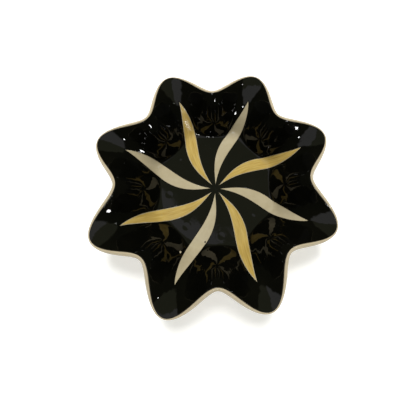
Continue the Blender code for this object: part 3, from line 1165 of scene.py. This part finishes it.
def make_coat():
    wall = even_steps(COAT_START + 1.2, 54.0, 0.9) + WALL_STATIONS
    section = [beside_lining(COAT_STEP_DOWN), between(0.5, COAT_STEP_DOWN)]
    section += [fixed(RIM_STATION, COAT_STEP_DOWN)]
    section += lip_steps(LIP_MIDDLE, LIP_HALF, 14)
    section += [fixed(station, COAT_BOTTOM) for station in [RIM_STATION] + wall[::-1]]
    section += [fixed(COAT_START + 0.5, COAT_BOTTOM - 0.12), fixed(COAT_START, COAT_BOTTOM - 0.4)]
    section += [fixed(COAT_START, COAT_TOP)]
    section += [fixed(station, COAT_TOP) for station in wall + [RIM_STATION]]
    section += lip_steps(CLAY_MIDDLE, COAT_INNER_HALF, 8)[::-1]
    section += [fixed(RIM_STATION, CLAY_TOP - LAYER_SLACK), beside_lining(CLAY_TOP - LAYER_SLACK)]
    points, faces = carry_round(section, COAT_COLUMNS, closed=True)
    return roll_up(flat_object("coat", points, faces), CREAM, **GLAZED_SURFACE)


coat = make_coat()
settle(coat, "cream_glaze", "cream_glaze")

# %% [markdown]
# ## The foot ring
#
# The dish stands on a plain turned ring. Its section is a rounded trapezium, spun round
# the axis. A real foot is trimmed by hand, so its bevels are soft.

# %% The foot ring
FOOT_COLUMNS = 192
FOOT_WIDTH = 5.5
FOOT_LEAN = 0.8
FOOT_EDGE = 0.9
FOOT_ARC = 5


def foot_section():
    """The section of the ring in mm, anticlockwise, with rounded lower corners."""
    outer = foot_box[1].x / MM
    outer_foot = outer - FOOT_LEAN
    top = foot_box[1].z / MM
    section = [(outer - FOOT_WIDTH - 2 * FOOT_LEAN, top), (outer, top)]
    inner_corner = outer_foot - FOOT_WIDTH + FOOT_EDGE
    outer_corner = outer_foot - FOOT_EDGE
    arcs = []
    for x, z, start in ((inner_corner, FOOT_EDGE, 180.0), (outer_corner, FOOT_EDGE, -90.0)):
        for step in range(FOOT_ARC + 1):
            turn = math.radians(start + 90.0 * step / FOOT_ARC)
            arcs.append((x + FOOT_EDGE * math.cos(turn), z + FOOT_EDGE * math.sin(turn)))
    return arcs + list(reversed(section))


def make_foot():
    section = foot_section()
    points, faces = [], []
    for radius, height in section:
        for column in range(FOOT_COLUMNS):
            turn = 2 * math.pi * column / FOOT_COLUMNS
            points.append((radius * math.cos(turn) * MM, radius * math.sin(turn) * MM, height * MM))
    for row in range(len(section)):
        following = (row + 1) % len(section)
        for column in range(FOOT_COLUMNS):
            ahead = (column + 1) % FOOT_COLUMNS
            a, b = row * FOOT_COLUMNS + column, following * FOOT_COLUMNS + column
            faces.append((a, row * FOOT_COLUMNS + ahead, following * FOOT_COLUMNS + ahead, b))
    ring = flat_object("foot", points, faces)
    ring.data.materials.append(CLAY)
    ring.data.shade_smooth()
    ring.data.set_sharp_from_angle(angle=math.radians(50.0))
    return ring


foot = make_foot()
settle(foot, "fired_clay", "foot_ring")

# %% [markdown]
# ## The stage
#
# A wide pale floor that glows a little, like a light table, so that the shadow stays
# soft and pale. A softbox high behind the dish lights it. The glaze is a mirror, so what
# it mirrors matters more than what lights it: a dim, faintly olive room straight above,
# a paler wall towards the back, and darkness near the horizon. That room is only seen in
# the glaze: straight to the camera the background is a plain pale grey. Three small lamps
# at the front and the side give the sharp glints on the flanks.

# %% Floor
def make_floor():
    half = 3.0
    points = [(-half, -half, 0.0), (half, -half, 0.0), (half, half, 0.0), (-half, half, 0.0)]
    floor = flat_object("table_top", points, [(0, 1, 2, 3)])
    finish = bpy.data.materials.new("pale light table")
    finish.use_nodes = True
    shader = finish.node_tree.nodes["Principled BSDF"]
    shader.inputs["Base Color"].default_value = (0.9, 0.9, 0.9, 1.0)
    shader.inputs["Roughness"].default_value = 0.9
    shader.inputs["Specular IOR Level"].default_value = 0.0
    shader.inputs["Emission Color"].default_value = (1.0, 1.0, 1.0, 1.0)
    shader.inputs["Emission Strength"].default_value = 0.34
    floor.data.materials.append(finish)


make_floor()

# %% Sky
OLIVE_OVERHEAD = (0.31, 0.325, 0.21, 1.0)
PALE_SIDE = (0.76, 0.76, 0.75, 1.0)
DARK_BELOW = (0.05, 0.052, 0.034, 1.0)
PALE_BACKDROP = (0.8, 0.8, 0.79, 1.0)


def make_sky():
    sky = bpy.data.worlds.new("dim room")
    sky.use_nodes = True
    tree = sky.node_tree
    direction = tree.nodes.new("ShaderNodeTexCoord").outputs["Generated"]
    parts = tree.nodes.new("ShaderNodeSeparateXYZ")
    tree.links.new(direction, parts.inputs[0])
    ragged = difference(tree, noise_value(tree, direction, 9.0, detail=4.0), 0.5)
    sideways = vectors(tree, "DOT_PRODUCT", direction, (-0.6, -0.8, 0.0))
    front_left = total(tree, sideways, product(tree, ragged, 0.3))
    height = total(tree, parts.outputs["Z"], product(tree, ragged, 0.15))
    on_the_side = remapped(tree, front_left, 0.02, 0.05, 0.0, 1.0)
    overhead = mixed(tree, on_the_side, OLIVE_OVERHEAD, PALE_SIDE)
    colour = mixed(tree, remapped(tree, height, 0.68, 0.73, 0.0, 1.0), DARK_BELOW, overhead)
    direct = tree.nodes.new("ShaderNodeLightPath").outputs["Is Camera Ray"]
    shown = mixed(tree, direct, colour, PALE_BACKDROP)
    tree.links.new(shown, tree.nodes["Background"].inputs["Color"])
    bpy.context.scene.world = sky
    return sky


print("sky:", make_sky().name)

# %% Lamps
def add_lamp(name, azimuth, elevation, distance, size, power, mirrored=True):
    """A square lamp aimed at the dish, placed by its direction in degrees."""
    lamp = bpy.data.lights.new(name, "AREA")
    lamp.size = size
    lamp.energy = power
    turn, lift = math.radians(azimuth), math.radians(elevation)
    level = math.cos(lift)
    towards = Vector((math.cos(turn) * level, math.sin(turn) * level, math.sin(lift)))
    holder = bpy.data.objects.new(name, lamp)
    holder.location = towards * distance
    holder.rotation_euler = towards.to_track_quat("Z", "Y").to_euler()
    holder.visible_glossy = mirrored
    bpy.context.scene.collection.objects.link(holder)


add_lamp("overhead_softbox", 88.0, 62.0, distance=1.5, size=0.5, power=23.5, mirrored=False)
add_lamp("front_lamp", -95.0, 39.0, distance=1.6, size=0.1, power=2.0)
add_lamp("low_lamp", -65.0, 16.0, distance=1.6, size=0.14, power=3.9)
add_lamp("side_lamp", -14.0, 45.0, distance=1.6, size=0.05, power=0.5)
bpy.context.scene.view_settings.view_transform = "Standard"

# %% [markdown]
# ## The camera
#
# The dish is seen from close above, a little from the front, through a wide lens: the
# near lobes look larger than the far ones. The camera is placed by its height above the
# floor of the dish and turned by three angles.

# %% Camera
CAMERA_AT = (2.68, -35.63, 263.16)
CAMERA_TURN = (14.50, -2.27, -2.36)
CAMERA_LENS = 22.42
CAMERA_SHIFT = (-0.052, -0.1213)
camera = bpy.data.objects.new("camera", bpy.data.cameras.new("camera"))
camera.data.lens = CAMERA_LENS
camera.data.sensor_width = 36.0
camera.data.shift_x, camera.data.shift_y = CAMERA_SHIFT
camera.data.clip_start = 0.01
camera.location = Vector((CAMERA_AT[0], CAMERA_AT[1], CAMERA_AT[2] + floor_z)) * MM
camera.rotation_euler = tuple(math.radians(value) for value in CAMERA_TURN)
bpy.context.scene.collection.objects.link(camera)
bpy.context.scene.camera = camera
print("camera at", tuple(round(value, 4) for value in camera.location))
